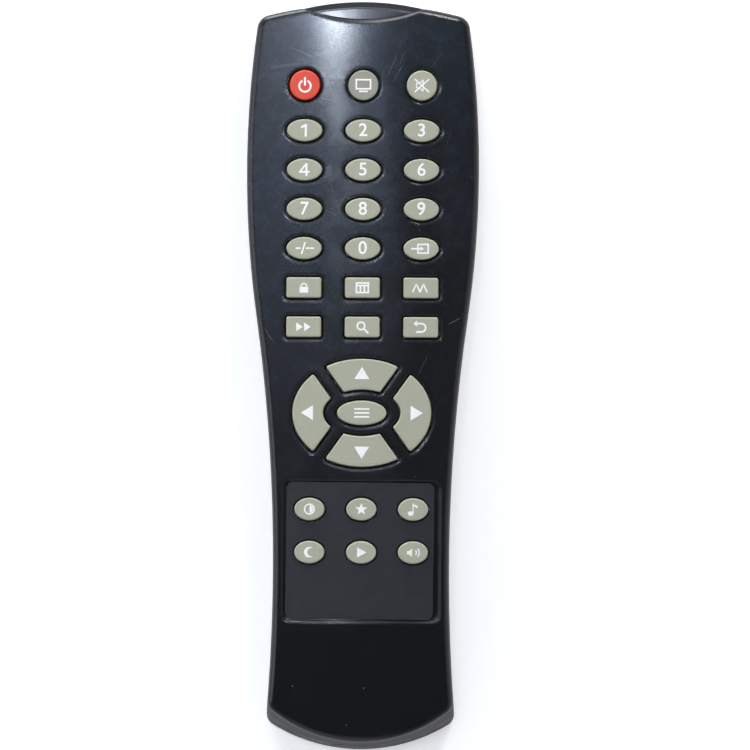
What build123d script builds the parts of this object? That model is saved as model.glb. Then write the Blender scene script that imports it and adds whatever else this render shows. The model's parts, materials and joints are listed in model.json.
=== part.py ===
from build123d import *

import math
import os
from functools import cache

# Hand-held television remote control, in millimetres.
# The underside rests on Z = 0, +Y runs towards the infrared window, and the keys face +Z.

# Outline seen from above
front_y = 94.2
front_radius = 100.0
front_corner_radius = 3.6
head_y = 52.0
head_half_width = 29.4
waist_y = -48.5
waist_half_width = 22.3
waist_arc_share = 0.6295
foot_y = -95.35
foot_radius = 44.3
foot_top_y = -92.4
foot_top_radius = 34.2
foot_corner_radius = 3.2

# Heights and walls of the two case halves
case_top = 24.0
crown_y = 0.0
crown_long_radius = 1500.0
crown_cross_radius = 200.0
split_z = 12.0
wall = 2.0
floor = 1.8
top_edge_radius = 1.6
belly_edge_radius = 2.4
belly_sweep_start = 45.0
belly_sweep_radius = 400.0
tongue_height = 1.2
tongue_fit = 0.05
seam_chamfer = 0.25

# Infrared window and the scoop that it fills
scoop_radius = 46.9
scoop_y = 90.3
scoop_chamfer = 1.0
window_front_y = 95.0
window_radius = 66.0
window_drop = 1.05
window_bottom = 8.5
window_gap = 0.12
window_lean = 1.9
window_edge_radius = 0.5
window_skin = 1.8
plug_half_width = 12.3
plug_half_height = 3.8
plug_depth = 3.4
plug_wall = 1.0
ear_width = 1.6
ear_thickness = 0.8

# Keypad: travel, stack and clearances
board_bottom = 14.2
board_thickness = 1.2
ink_thickness = 0.1
mat_thickness = 1.0
key_travel = 1.0
puck_gap = 0.05
puck_thickness = 0.6
puck_radius = 1.8
stem_rim = 0.3
web_height = 1.1
web_thickness = 0.4
flange_overhang = 0.7
flange_thickness = 0.8
key_gap = 0.4
key_proud = 1.0
key_edge_radius = 0.35
opening_edge_radius = 0.4

# Key faces and where they stand
column_pitch = 14.8
round_key_radius = 3.8
round_row_y = 73.55
oval_key_size = (8.9, 5.6)
bar_key_size = (8.8, 5.15)
bar_key_corner = 0.6
first_row_y = 62.1
row_pitch = 9.95
panel_key_size = (7.6, 5.7)
panel_pitch = 13.1
panel_row_y = -33.75
panel_row_pitch = 10.9
hub_key_size = (12.5, 6.2)
pad_y = -9.35
pad_outer_size = (35.1, 27.3)
pad_inner_size = (19.6, 11.8)
pad_bar_gap = 3.6
pad_bar_angle = 54.3
pad_bar_root_x = 3.04
pad_bar_length = 30.0
pad_corner = 0.5
pad_side_x = 13.4
pad_end_y = 9.8

# Recess and thin overlay around the lower six keys
recess_size = (39.8, 35.5)
recess_y = -44.35
recess_depth = 0.55
recess_corner = 2.0
overlay_size = (37.4, 34.6)
overlay_shift = (-0.35, 0.1)
overlay_turn = -0.5
overlay_thickness = 0.35
overlay_corner = 1.7
overlay_hole_gap = 0.05
glue_thickness = 0.02

# Circuit board, mat and the posts that locate them
board_edge_gap = 0.7
board_front_y = 80.0
board_foot_y = -58.0
mat_inset = 0.5
pin_spots = [(21.5, 67.8), (18.5, 4.2), (17.5, -25.5)]
pin_radius = 0.9
pin_hole_gap = 0.2
pin_proud = 0.4
post_radius = 2.0
hold_down_spots = [(7.4, 57.1), (7.4, 37.2), (7.4, 17.3), (6.55, -39.2)]
hold_down_radius = 1.0
hold_down_gap = 0.1
ink_radius = 2.1
ink_split = 0.4

# Case screws
screw_spot = (19.0, 84.5)
screw_radius = 1.3
screw_length = 10.0
screw_head_radius = 2.3
screw_head_height = 1.8
screw_seat_z = 7.0
screw_hole_gap = 0.05
screw_head_gap = 0.3
screw_slot_width = 0.7
screw_slot_length = 2.8
screw_slot_depth = 0.9
lower_boss_radius = 3.8
upper_boss_radius = 3.0
pilot_depth = 7.0

# Battery cells, their bay and the sliding door
cell_radius = 5.25
cell_length = 44.5
nub_length = 1.0
nub_radius = 2.75
cell_gap = 0.6
cell_clearance = 0.25
spring_room = 4.0
contact_thickness = 0.5
bay_side_gap = 0.5
bay_wall = 1.5
bay_roof = 1.2
bay_foot_y = -87.0
door_half_width = 15.0
door_head_y = -35.0
door_inset = 0.2
door_thickness = 1.6
door_side_gap = 0.15
door_over_gap = 0.2
tongue_width = 1.2
tongue_thickness = 0.8
shelf_thickness = 1.2
rail_width = 2.85
grip_length = 14.0
grip_width = 18.0
grip_depth = 0.6
grip_bars = 6
grip_bar_width = 0.9
grip_y = -78.0
latch_slit_width = 0.8
latch_slit_length = 9.0
latch_half_width = 5.0
latch_ridge_height = 0.15
latch_ridge_width = 0.8
arrow_size = 3.2
arrow_y = -64.0

# Contacts and springs
contact_half_width = 4.5
contact_bottom = 3.0
contact_top = 11.8
tab_half_width = 1.0
tab_slot_gap = 0.2
spring_wire = 0.6
spring_base_radius = 3.9
spring_pitch = 1.0
spring_cone_angle = -18.0
spring_end_gap = 0.05

# Parts on the underside of the board
chip_size = (17.9, 7.5, 2.35)
chip_spot = (0.0, 47.0)
chip_standoff = 0.15
chip_pins = 14
chip_pin_pitch = 1.27
chip_pin_width = 0.42
chip_pin_thickness = 0.25
chip_pin_reach = 1.4
chip_pin_foot = 0.7
resonator_size = (7.4, 3.4, 6.0)
resonator_spot = (12.0, 62.0)
resonator_corner = 1.2
lead_radius = 0.25
lead_length = 1.2
capacitor_radius = 2.5
capacitor_length = 11.0
capacitor_spot = (17.0, 34.0)
transistor_radius = 2.3
transistor_flat = 1.3
transistor_height = 4.6
transistor_spot = (-14.0, 60.0)
resistor_count = 4
resistor_pitch = 4.2
resistor_radius = 1.15
resistor_length = 6.3
resistor_spot = (-13.0, 34.0)
led_radius = 2.5
led_flange = 0.4
led_flange_length = 1.0
led_body_y = 82.8
led_length = 8.6
led_lead_pitch = 2.54
led_lead_size = 0.5
led_lead_overlap = 5.0

# Levels and places that follow from the sizes above
board_top = board_bottom + board_thickness
ink_top = board_top + ink_thickness
mat_top = board_top + mat_thickness
flange_bottom = mat_top + web_height
flange_top = flange_bottom + flange_thickness
puck_bottom = ink_top + key_travel + puck_gap
puck_top = puck_bottom + puck_thickness
scoop_centre_y = scoop_y + scoop_radius
door_top = door_inset + door_thickness
shelf_bottom = door_top + door_over_gap
shelf_top = shelf_bottom + shelf_thickness
cell_z = door_top + cell_clearance + cell_radius
bay_ceiling = cell_z + cell_radius + cell_clearance
bay_half_width = cell_radius * 2 + cell_gap / 2 + bay_side_gap
bay_head_y = bay_foot_y + cell_length + spring_room + 2 * contact_thickness
cell_x = cell_radius + cell_gap / 2
led_z = board_bottom - led_lead_size / 2
plug_bottom = led_z - plug_half_height
plug_top = led_z + plug_half_height
reach = front_y - foot_y
tail_y = foot_y - wall
case_reach = 2 * head_half_width
crown_axis_point = (0, crown_y, case_top - crown_cross_radius)


# Plan shapes

def crossing(centre_a, radius_a, centre_b, radius_b):
    # The crossing of two circles that lies further towards +Y.
    ax, ay = centre_a
    bx, by = centre_b
    gap = math.hypot(bx - ax, by - ay)
    along = (radius_a**2 - radius_b**2 + gap**2) / (2 * gap)
    aside = math.sqrt(radius_a**2 - along**2)
    ux = (bx - ax) / gap
    uy = (by - ay) / gap
    points = [(ax + along * ux - s * aside * uy, ay + along * uy + s * aside * ux) for s in (-1, 1)]
    return max(points, key=lambda point: point[1])


def left_of(point):
    return (-point[0], point[1])


def case_outline(inset):
    # The head bulges and the waist is drawn in, on two arcs that touch where they meet.
    # The foot is left long here, because a leaning end wall trims it.
    drop = head_half_width - waist_half_width
    run = head_y - waist_y
    both_arcs = (drop**2 + run**2) / (2 * drop)
    waist_arc = waist_arc_share * both_arcs + inset
    head_arc = both_arcs - waist_arc
    head_centre = (head_half_width - inset - head_arc, head_y)
    waist_centre = (waist_half_width - inset + waist_arc, waist_y)
    share = head_arc / (head_arc + waist_arc)
    join = (
        head_centre[0] + share * (waist_centre[0] - head_centre[0]),
        head_centre[1] + share * (waist_centre[1] - head_centre[1]),
    )
    front_corner = crossing((0, front_y - front_radius), front_radius - inset, head_centre, head_arc)
    tail = (waist_centre[0] - math.sqrt(waist_arc**2 - (tail_y - waist_y)**2), tail_y)
    with BuildSketch() as outline:
        with BuildLine():
            ThreePointArc(left_of(front_corner), (0, front_y - inset), front_corner)
            RadiusArc(front_corner, join, head_arc)
            RadiusArc(join, tail, -waist_arc)
            Line(tail, left_of(tail))
            RadiusArc(left_of(tail), left_of(join), -waist_arc)
            RadiusArc(left_of(join), left_of(front_corner), head_arc)
        make_face()
        fillet(outline.vertices().sort_by(Axis.Y)[-2:], max(front_corner_radius - inset, wall / 4))
    return outline.sketch


def plan_inside(inset):
    # The outline less the scoop, drawn in by inset.
    with BuildSketch() as plan:
        add(case_outline(inset))
        with Locations((0, scoop_centre_y)):
            Circle(scoop_radius + inset, mode=Mode.SUBTRACT)
    return plan.sketch


def plan_between(inset, low_y, high_y):
    with BuildSketch() as plan:
        add(case_outline(inset))
        with Locations((0, (low_y + high_y) / 2)):
            Rectangle(case_reach, high_y - low_y, mode=Mode.INTERSECT)
    return plan.sketch


board_plan = plan_between(wall + board_edge_gap, board_foot_y, board_front_y)
mat_plan = plan_between(
    wall + board_edge_gap + mat_inset,
    board_foot_y + mat_inset,
    board_front_y - mat_inset,
)


# Bodies that trim other parts

def under_crown(lift):
    # Everything below the doubly curved top, raised by lift along its normal.
    # The long arc turns about an axis that runs along the case, far below it.
    half_angle = math.asin(case_reach / crown_cross_radius)
    start_normal = (math.cos(half_angle), 0, math.sin(half_angle))
    arc_centre = crown_cross_radius - crown_long_radius
    arc_radius = crown_long_radius + lift
    edge = arc_centre + math.sqrt(arc_radius**2 - reach**2)
    bottom = crown_cross_radius - case_reach
    with BuildPart() as body:
        with BuildSketch(Plane(crown_axis_point, x_dir=(0, 1, 0), z_dir=start_normal)):
            with BuildLine():
                ThreePointArc((-reach, edge), (0, arc_centre + arc_radius), (reach, edge))
                Polyline((reach, edge), (reach, bottom), (-reach, bottom), (-reach, edge))
            make_face()
        revolve(axis=Axis(crown_axis_point, (0, 1, 0)), revolution_arc=2 * math.degrees(half_angle))
    return body.part


def above_belly(lift):
    # Everything above the underside, which is flat and sweeps up under the head.
    sweep_radius = belly_sweep_radius - lift
    sweep = math.degrees(math.asin((reach - belly_sweep_start) / sweep_radius))
    with BuildPart() as body:
        with BuildSketch(Plane.YZ):
            with BuildLine():
                flat = Line((-reach, lift), (belly_sweep_start, lift))
                rise = JernArc(start=flat @ 1, tangent=flat % 1, radius=sweep_radius, arc_size=sweep)
                Polyline(rise @ 1, (reach, reach), (-reach, reach), (-reach, lift))
            make_face()
        extrude(amount=case_reach, both=True)
    return body.part


def ahead_of_foot(inset):
    # Everything in front of the end wall, which leans out from the top towards the underside.
    half_chord = waist_half_width + 2 * wall
    with BuildPart() as body:
        for height, edge_y, radius in ((0, foot_y, foot_radius), (case_top, foot_top_y, foot_top_radius)):
            chord_y = edge_y + radius - math.sqrt((radius - inset)**2 - half_chord**2)
            with BuildSketch(Plane.XY.offset(height)):
                with BuildLine():
                    ThreePointArc((-half_chord, chord_y), (0, edge_y + inset), (half_chord, chord_y))
                    Polyline(
                        (half_chord, chord_y),
                        (case_reach, chord_y),
                        (case_reach, reach),
                        (-case_reach, reach),
                        (-case_reach, chord_y),
                        (-half_chord, chord_y),
                    )
                make_face()
        loft(ruled=True)
    return body.part


def crown_height(x, y):
    hoop = crown_cross_radius - crown_long_radius + math.sqrt(crown_long_radius**2 - (y - crown_y)**2)
    return case_top - crown_cross_radius + math.sqrt(hoop**2 - x**2)


crown_outer = under_crown(0)
crown_inner = under_crown(-wall)
crown_mid_wall = under_crown(-wall / 2)
crown_keys = under_crown(key_proud)
belly_inner = above_belly(floor)
belly_mid_floor = above_belly(floor / 2)


def prism(plan, bottom, top):
    with BuildPart() as body:
        with BuildSketch(Plane.XY.offset(bottom)):
            add(plan)
        extrude(amount=top - bottom)
    return body.part


def block(low, high):
    # A box between two corners.
    size = [b - a for a, b in zip(low, high)]
    with BuildPart() as body:
        with Locations(tuple(low)):
            Box(*size, align=(Align.MIN, Align.MIN, Align.MIN))
    return body.part


# Keys: name, form, place of the switch

keys = []
for name, column in (("power_key", -1), ("display_key", 0), ("mute_key", 1)):
    keys.append((name, "round", column * column_pitch, round_row_y))
oval_rows = (
    ("key_1", "key_2", "key_3"),
    ("key_4", "key_5", "key_6"),
    ("key_7", "key_8", "key_9"),
    ("digits_key", "key_0", "source_key"),
)
for row, names in enumerate(oval_rows):
    for column, name in enumerate(names):
        keys.append((name, "oval", (column - 1) * column_pitch, first_row_y - row * row_pitch))
bar_rows = (("lock_key", "calendar_key", "wave_key"), ("scan_key", "zoom_key", "recall_key"))
for row, names in enumerate(bar_rows):
    for column, name in enumerate(names):
        bar_y = first_row_y - (row + len(oval_rows)) * row_pitch
        keys.append((name, "bar", (column - 1) * column_pitch, bar_y))
keys.append(("up_key", "pad_up", 0, pad_y + pad_end_y))
keys.append(("down_key", "pad_down", 0, pad_y - pad_end_y))
keys.append(("left_key", "pad_left", -pad_side_x, pad_y))
keys.append(("right_key", "pad_right", pad_side_x, pad_y))
keys.append(("menu_key", "hub", 0, pad_y))
panel_rows = (("picture_key", "favourite_key", "sound_key"), ("sleep_key", "demo_key", "listen_key"))
for row, names in enumerate(panel_rows):
    for column, name in enumerate(names):
        keys.append((name, "panel", (column - 1) * panel_pitch, panel_row_y - row * panel_row_pitch))


@cache
def pad_ring(grow):
    # Four segments between two ovals, parted by four slanting bars.
    outer_x, outer_y = pad_outer_size
    inner_x, inner_y = pad_inner_size
    lean = math.radians(pad_bar_angle)
    bar_x = pad_bar_root_x + math.cos(lean) * pad_bar_length / 2
    bar_y = math.sin(lean) * pad_bar_length / 2
    with BuildSketch() as ring:
        with Locations((0, pad_y)):
            Ellipse(outer_x / 2 + grow, outer_y / 2 + grow)
            Ellipse(inner_x / 2 - grow, inner_y / 2 - grow, mode=Mode.SUBTRACT)
        for side in (-1, 1):
            for end in (-1, 1):
                bar = Location((side * bar_x, pad_y + end * bar_y, 0), (0, 0, side * end * pad_bar_angle))
                with Locations(bar):
                    Rectangle(pad_bar_length, pad_bar_gap - 2 * grow, mode=Mode.SUBTRACT)
        corners = [v for v in ring.vertices() if abs(v.Y - pad_y) > pad_bar_gap / 2]
        fillet(corners, pad_corner + max(grow, 0) / 2)
    return ring.sketch


def key_section(form, x, y, grow):
    if form.startswith("pad_"):
        segments = pad_ring(grow).faces()
        picked = {
            "pad_up": segments.sort_by(Axis.Y)[-1],
            "pad_down": segments.sort_by(Axis.Y)[0],
            "pad_left": segments.sort_by(Axis.X)[0],
            "pad_right": segments.sort_by(Axis.X)[-1],
        }[form]
        return Sketch() + picked
    with BuildSketch() as section:
        with Locations((x, y)):
            if form == "round":
                Circle(round_key_radius + grow)
            elif form == "bar":
                width, height = bar_key_size
                RectangleRounded(width + 2 * grow, height + 2 * grow, bar_key_corner + max(grow, 0))
            else:
                width, height = {"oval": oval_key_size, "panel": panel_key_size, "hub": hub_key_size}[form]
                Ellipse(width / 2 + grow, height / 2 + grow)
    return section.sketch


def key_sections(grow, forms=None):
    return [key_section(form, x, y, grow) for _, form, x, y in keys if forms is None or form in forms]


os.makedirs("parts", exist_ok=True)


def keep(part, name):
    part.label = name
    export_step(part, f"parts/{name}.step")


# The whole case as one solid body, and the room inside it

with BuildPart() as scoop_cutter:
    # A round cut whose rim opens out at 45 degrees to leave the chamfer.
    notch_z = window_bottom - window_gap
    rim_z = crown_height(0, scoop_y) - scoop_chamfer
    top_z = rim_z + 2 * scoop_chamfer
    with BuildSketch(Plane.XZ.offset(-scoop_centre_y)):
        Polygon(
            (0, notch_z),
            (scoop_radius, notch_z),
            (scoop_radius, rim_z),
            (scoop_radius + 2 * scoop_chamfer, top_z),
            (0, top_z),
            align=None,
        )
    revolve(axis=Axis((0, scoop_centre_y, 0), (0, 0, 1)), revolution_arc=360)

with BuildPart() as case_body:
    with BuildSketch():
        add(case_outline(0))
    extrude(amount=case_top + wall)
    add(ahead_of_foot(0), mode=Mode.INTERSECT)
    foot_corners = case_body.edges().filter_by(lambda edge: abs((edge @ 0).Z - (edge @ 1).Z) > split_z)
    fillet(foot_corners.group_by(Axis.Y)[0], foot_corner_radius)
    add(crown_outer, mode=Mode.INTERSECT)
    fillet(case_body.faces().sort_by(Axis.Z)[-1].outer_wire().edges(), top_edge_radius)
    add(above_belly(0), mode=Mode.INTERSECT)
    belly_faces = case_body.faces().filter_by(lambda face: face.center().Z < wall)
    sweep_start = belly_faces.edges().filter_by(lambda edge: abs((edge @ 0.5).Y - belly_sweep_start) < wall)
    fillet(belly_faces.edges() - sweep_start.sort_by(Axis.Y)[:2], belly_edge_radius)


def half(bottom, top):
    # One case half with its walls: the seam's outer edge is broken, then the scoop and the room are cut.
    with BuildPart() as shell:
        add(case_body.part)
        add(block((-case_reach, -reach, bottom), (case_reach, reach, top)), mode=Mode.INTERSECT)
        seam = shell.faces().filter_by(Plane.XY).filter_by_position(Axis.Z, split_z - wall, split_z + wall)
        chamfer(seam.edges(), seam_chamfer)
        add(room, mode=Mode.SUBTRACT)
        add(scoop_cutter.part, mode=Mode.SUBTRACT)
    return shell.part


def lining(inset, low, high):
    # The space inside the walls, drawn in by inset from the outer faces.
    return prism(plan_inside(inset), low, high) & ahead_of_foot(inset)


room = lining(wall, 0, case_top) & crown_inner & belly_inner
plug_hole = block(
    (-plug_half_width - window_gap, scoop_y - plug_depth - wall, plug_bottom - window_gap),
    (plug_half_width + window_gap, front_y, plug_top + window_gap),
)
screw_spots = [screw_spot, left_of(screw_spot)]
both_pins = [(side * x, y) for x, y in pin_spots for side in (-1, 1)]
both_hold_downs = [(side * x, y) for x, y in hold_down_spots for side in (-1, 1)]


def discs(spots, radius, bottom, top):
    with BuildPart() as posts:
        with BuildSketch(Plane.XY.offset(bottom)):
            with Locations(*spots):
                Circle(radius)
        extrude(amount=top - bottom)
    return posts.part


os.makedirs("parts", exist_ok=True)


def keep(part, name):
    part.label = name
    export_step(part, f"parts/{name}.step")


# Upper case

with BuildSketch() as recess_plan:
    with Locations((0, recess_y)):
        RectangleRounded(*recess_size, recess_corner)

recess_cutter = prism(recess_plan.sketch, split_z, case_top + wall) - under_crown(-recess_depth)

with BuildPart() as top_case:
    add(half(split_z, case_top + wall))
    add(discs(both_hold_downs, hold_down_radius, mat_top + hold_down_gap, case_top) & crown_mid_wall)
    add(discs(screw_spots, upper_boss_radius, split_z, case_top) & crown_mid_wall)
    groove = lining(wall / 2 - tongue_fit, split_z, split_z + tongue_height + 2 * tongue_fit)
    add(groove - discs(screw_spots, upper_boss_radius, split_z, case_top), mode=Mode.SUBTRACT)
    add(recess_cutter, mode=Mode.SUBTRACT)
    add(plug_hole, mode=Mode.SUBTRACT)
    add(discs(screw_spots, screw_radius + screw_hole_gap, split_z, split_z + pilot_depth), mode=Mode.SUBTRACT)
    with BuildSketch(Plane.XY.offset(flange_top)):
        for plan in key_sections(key_gap):
            add(plan)
    extrude(amount=case_top, mode=Mode.SUBTRACT)
    rims = []
    for edge in top_case.edges(Select.LAST):
        middle = edge @ 0.5
        level = abs((edge @ 0).Z - (edge @ 1).Z) < key_gap
        if level and middle.Z > crown_height(middle.X, middle.Y) - recess_depth / 2:
            rims.append(edge)
    fillet(rims, opening_edge_radius)

keep(top_case.part, "top_case")


# Lower case

def door_plate(gap, low, high):
    # The door's plan grown by gap, with its side tongues at the upper level.
    far = foot_y - wall
    tongue_low = door_top - tongue_thickness - gap
    with BuildPart() as plate:
        add(block((-door_half_width - gap, far, low), (door_half_width + gap, door_head_y + gap, high)))
        tongue_x = door_half_width + tongue_width + gap
        tongue_head_y = door_head_y - tongue_width + gap
        tongue_foot_y = far if gap > 0 else bay_foot_y
        add(block((-tongue_x, tongue_foot_y, tongue_low), (tongue_x, tongue_head_y, high)))
    return plate.part


bay_outer_x = bay_half_width + bay_wall
bay_low_y = bay_foot_y - bay_wall
bay_high_y = bay_head_y + bay_wall
rail_x = door_half_width + rail_width
tab_spots = [(side * cell_x, bay_head_y - contact_thickness / 2) for side in (-1, 1)]
tab_hole_size = (2 * (tab_half_width + tab_slot_gap), contact_thickness + 2 * tab_slot_gap)

with BuildPart() as bottom_case:
    add(half(-wall, split_z))
    add(lining(wall / 2 + tongue_fit, split_z - wall, split_z + tongue_height) - room)
    add(discs(both_pins, post_radius, 0, board_bottom) & belly_mid_floor)
    add(discs(both_pins, pin_radius, board_bottom, board_top + pin_proud))
    add(discs(screw_spots, lower_boss_radius, 0, split_z) & belly_mid_floor)
    add(block((-bay_outer_x, bay_low_y, floor), (bay_outer_x, bay_high_y, bay_ceiling + bay_roof)))
    rails = block((-rail_x, -reach, 0), (rail_x, door_head_y + wall, shelf_top))
    add(rails & case_body.part)
    bay = block((-bay_half_width, bay_foot_y, -wall), (bay_half_width, bay_head_y, bay_ceiling))
    add(bay, mode=Mode.SUBTRACT)
    add(door_plate(door_side_gap, -wall, shelf_bottom), mode=Mode.SUBTRACT)
    add(scoop_cutter.part, mode=Mode.SUBTRACT)
    add(plug_hole, mode=Mode.SUBTRACT)
    add(discs(screw_spots, screw_head_radius + screw_head_gap, -wall, screw_seat_z), mode=Mode.SUBTRACT)
    add(discs(screw_spots, screw_radius + screw_hole_gap, 0, split_z), mode=Mode.SUBTRACT)
    with BuildSketch(Plane.XY.offset(bay_ceiling)):
        with Locations(*tab_spots):
            Rectangle(*tab_hole_size)
    extrude(amount=bay_roof, mode=Mode.SUBTRACT)

keep(bottom_case.part, "bottom_case")


# Battery door: side tongues, a springy latch finger and a ribbed thumb grip

with BuildPart() as battery_door:
    add(door_plate(0, door_inset, door_top) & case_body.part)
    with BuildSketch(Plane.XY.offset(door_inset)):
        with Locations(*[(side * latch_half_width, door_head_y) for side in (-1, 1)]):
            Rectangle(latch_slit_width, 2 * latch_slit_length)
    extrude(amount=door_thickness, mode=Mode.SUBTRACT)
    with BuildSketch(Plane.XY.offset(door_top)):
        with Locations((0, door_head_y - latch_ridge_width)):
            SlotOverall(latch_half_width, latch_ridge_width)
    extrude(amount=latch_ridge_height)
    with BuildSketch(Plane.XY.offset(door_inset)):
        with Locations((0, grip_y)):
            RectangleRounded(grip_width, grip_length, grip_depth)
            bar_spacing = grip_length / (grip_bars + 1)
            with GridLocations(0, bar_spacing, 1, grip_bars):
                Rectangle(grip_width, grip_bar_width, mode=Mode.SUBTRACT)
        with Locations((0, arrow_y)):
            Triangle(a=arrow_size, b=arrow_size, c=arrow_size, rotation=180)
    extrude(amount=grip_depth, mode=Mode.SUBTRACT)

keep(battery_door.part, "battery_door")


# Infrared window: a lens-shaped cap whose hollow plug passes through the front wall

window_axis = Axis((0, window_front_y - window_radius, 0), (0, 0, 1))


def window_cone(inset, low, high):
    # A round body whose side leans back from the underside of the window to its top.
    lean = window_lean * (high - low) / (crown_height(0, scoop_y) - window_bottom)
    with BuildPart() as cone:
        with BuildSketch(Plane.XZ.offset(window_radius - window_front_y)):
            rim = window_radius - inset
            Polygon((0, low), (rim, low), (rim - lean, high), (0, high), align=None)
        revolve(axis=window_axis, revolution_arc=360)
    return cone.part


with BuildPart() as ir_window:
    with BuildSketch(Plane.XY.offset(window_bottom)):
        with Locations((0, scoop_centre_y)):
            Circle(scoop_radius - window_gap)
    extrude(amount=case_top - window_bottom)
    add(window_cone(0, window_bottom, case_top), mode=Mode.INTERSECT)
    add(under_crown(-window_drop), mode=Mode.INTERSECT)
    fillet(ir_window.faces().sort_by(Axis.Z)[-1].edges().sort_by(Axis.Y)[-1], window_edge_radius)
    plug_front_y = scoop_centre_y - math.sqrt(scoop_radius**2 - plug_half_width**2) + wall / 2
    add(block((-plug_half_width, scoop_y - plug_depth, plug_bottom), (plug_half_width, plug_front_y, plug_top)))
    ear_y = scoop_centre_y - math.sqrt((scoop_radius + wall)**2 - plug_half_width**2) - window_gap
    ear_x = plug_half_width + ear_width
    add(block((-ear_x, ear_y - ear_thickness, plug_bottom), (ear_x, ear_y, plug_top)))
    hollow = block(
        (plug_wall - plug_half_width, scoop_y - plug_depth - wall, plug_bottom + plug_wall),
        (plug_half_width - plug_wall, window_front_y, plug_top - plug_wall),
    )
    add(hollow & window_cone(window_skin, window_bottom, case_top), mode=Mode.SUBTRACT)

keep(ir_window.part, "ir_window")


# Overlay around the lower six keys

with BuildSketch() as overlay_plan:
    with Locations(Location((overlay_shift[0], recess_y + overlay_shift[1], 0), (0, 0, overlay_turn))):
        RectangleRounded(*overlay_size, overlay_corner)
    for hole in key_sections(key_gap + overlay_hole_gap, ("panel",)):
        add(hole, mode=Mode.SUBTRACT)

overlay_prism = prism(overlay_plan.sketch, split_z, case_top + wall)
overlay_under = under_crown(glue_thickness - recess_depth)
overlay_over = under_crown(glue_thickness + overlay_thickness - recess_depth)
overlay = (overlay_prism & overlay_over) - overlay_under
keep(overlay, "panel_overlay")


# Keys: cap, flange under the case, stem and conductive puck, one part each

def make_key(form, x, y):
    with BuildPart() as key:
        with BuildSketch(Plane.XY.offset(flange_bottom)):
            add(key_section(form, x, y, 0))
        extrude(amount=case_top + wall - flange_bottom)
        add(crown_keys, mode=Mode.INTERSECT)
        fillet(key.faces().sort_by(Axis.Z)[-1].edges(), key_edge_radius)
        with BuildSketch(Plane.XY.offset(flange_bottom)):
            add(key_section(form, x, y, flange_overhang))
        extrude(amount=flange_thickness)
        with BuildSketch(Plane.XY.offset(puck_top)):
            with Locations((x, y)):
                Circle(puck_radius + stem_rim)
        extrude(amount=flange_bottom - puck_top)
    puck = discs([(x, y)], puck_radius, puck_bottom, puck_top)
    return Compound(children=[key.part, puck])


for name, form, x, y in keys:
    keep(make_key(form, x, y), name)


# Keypad mat and the thin webs that spring the keys

with BuildPart() as keypad_mat:
    with BuildSketch(Plane.XY.offset(board_top)):
        add(mat_plan)
        for hole in key_sections(flange_overhang - web_thickness):
            add(hole, mode=Mode.SUBTRACT)
        with Locations(*both_pins):
            Circle(pin_radius + pin_hole_gap, mode=Mode.SUBTRACT)
    extrude(amount=mat_thickness)

keep(keypad_mat.part, "keypad_mat")

with BuildPart() as key_webs:
    with BuildSketch(Plane.XY.offset(mat_top)):
        for sleeve in key_sections(flange_overhang):
            add(sleeve)
        for hole in key_sections(flange_overhang - web_thickness):
            add(hole, mode=Mode.SUBTRACT)
    extrude(amount=web_height)

keep(key_webs.part, "key_webs")


# Circuit board and the carbon half discs under the keys

with BuildPart() as circuit_board:
    with BuildSketch(Plane.XY.offset(board_bottom)):
        add(board_plan)
        with Locations(*both_pins):
            Circle(pin_radius + pin_hole_gap, mode=Mode.SUBTRACT)
        with Locations(*tab_spots):
            Rectangle(*tab_hole_size, mode=Mode.SUBTRACT)
    extrude(amount=board_thickness)

keep(circuit_board.part, "circuit_board")

with BuildPart() as contact_pads:
    with BuildSketch(Plane.XY.offset(board_top)):
        with Locations(*[(x, y) for _, _, x, y in keys]):
            Circle(ink_radius)
            Rectangle(ink_split, 2 * ink_radius, mode=Mode.SUBTRACT)
    extrude(amount=ink_thickness)

keep(contact_pads.part, "contact_pads")


# Parts on the underside of the board

chip_x, chip_y = chip_spot
chip_length, chip_width, chip_height = chip_size
chip_top = board_bottom - chip_standoff

with BuildPart() as controller_chip:
    with Locations((chip_x, chip_y, chip_top - chip_height / 2)):
        Box(chip_length, chip_width, chip_height)
    chamfer(controller_chip.edges().filter_by(Axis.Z), chip_standoff)

with BuildPart() as chip_leads:
    # Each lead leaves the chip's side, rises to the board and ends in a flat foot.
    side_y = chip_width / 2
    outer_y = side_y + chip_pin_reach - chip_pin_foot
    middle_z = chip_top - chip_height / 2
    with BuildSketch(Plane.YZ):
        for side in (-1, 1):
            Polygon(
                (side * side_y, middle_z),
                (side * (outer_y - chip_pin_thickness), middle_z),
                (side * (outer_y - chip_pin_thickness), board_bottom),
                (side * (outer_y + chip_pin_foot), board_bottom),
                (side * (outer_y + chip_pin_foot), board_bottom - chip_pin_thickness),
                (side * outer_y, board_bottom - chip_pin_thickness),
                (side * outer_y, middle_z - chip_pin_thickness),
                (side * side_y, middle_z - chip_pin_thickness),
                align=None,
            )
    extrude(amount=chip_pin_width / 2, both=True)

with BuildPart() as chip_pin_rows:
    with Locations((chip_x, chip_y, 0)):
        with GridLocations(chip_pin_pitch, 0, chip_pins, 1):
            add(chip_leads.part)

keep(controller_chip.part, "controller_chip")
keep(chip_pin_rows.part, "chip_pins")

resonator_length, resonator_width, resonator_height = resonator_size
resonator_x, resonator_y = resonator_spot

with BuildPart() as resonator:
    with BuildSketch(Plane.XY.offset(board_bottom - lead_length)):
        with Locations(resonator_spot):
            RectangleRounded(resonator_length, resonator_width, resonator_corner)
    extrude(amount=-resonator_height)
    fillet(resonator.faces().sort_by(Axis.Z)[0].edges(), resonator_corner / 2)
    resonator_leads = [(resonator_x + side * resonator_length / 4, resonator_y) for side in (-1, 1)]
    add(discs(resonator_leads, lead_radius, board_bottom - lead_length, board_bottom))

keep(resonator.part, "resonator")

capacitor_x, capacitor_y = capacitor_spot
capacitor_z = board_bottom - chip_standoff - capacitor_radius

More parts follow.
